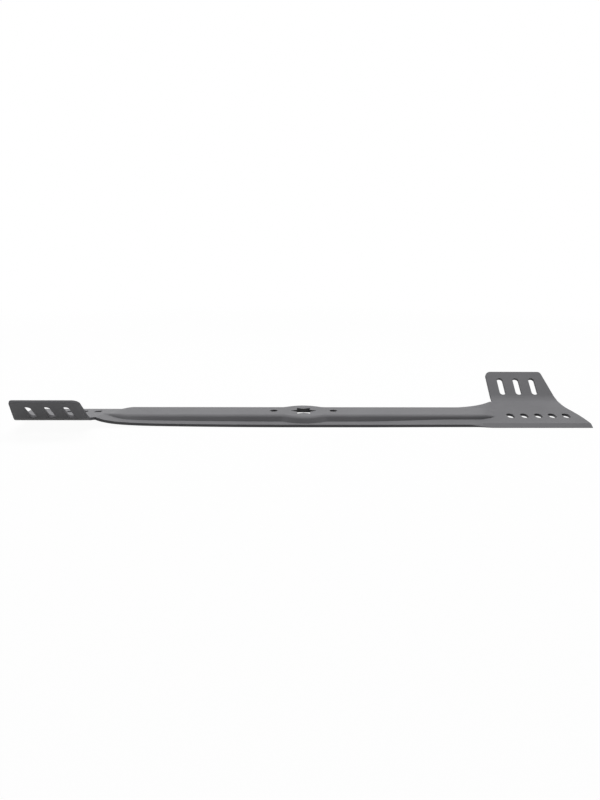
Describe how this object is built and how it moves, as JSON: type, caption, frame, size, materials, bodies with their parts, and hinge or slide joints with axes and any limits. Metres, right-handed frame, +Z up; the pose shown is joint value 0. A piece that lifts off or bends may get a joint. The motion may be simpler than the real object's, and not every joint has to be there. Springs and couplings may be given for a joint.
{
  "type": "rotary mower blade",
  "caption": "Pressed steel rotary mower blade: crowned bar with a star drive hole, bevelled cutting ends, and slotted wings folded up behind them to lift and throw the grass.",
  "frame": {"origin": "turning axis of the blade, at the height of the flat underside of the bar's flanges", "axes": "+X along the bar to one cutting tip, +Y across it to that end's wing, +Z up along the turning axis to the side the wings are folded to"},
  "size_m": [0.5322, 0.1356, 0.034],
  "materials": {
    "coated_steel": "satin"
  },
  "bodies": {
    "root": {"blade": "coated_steel"}
  },
  "joints": []
}
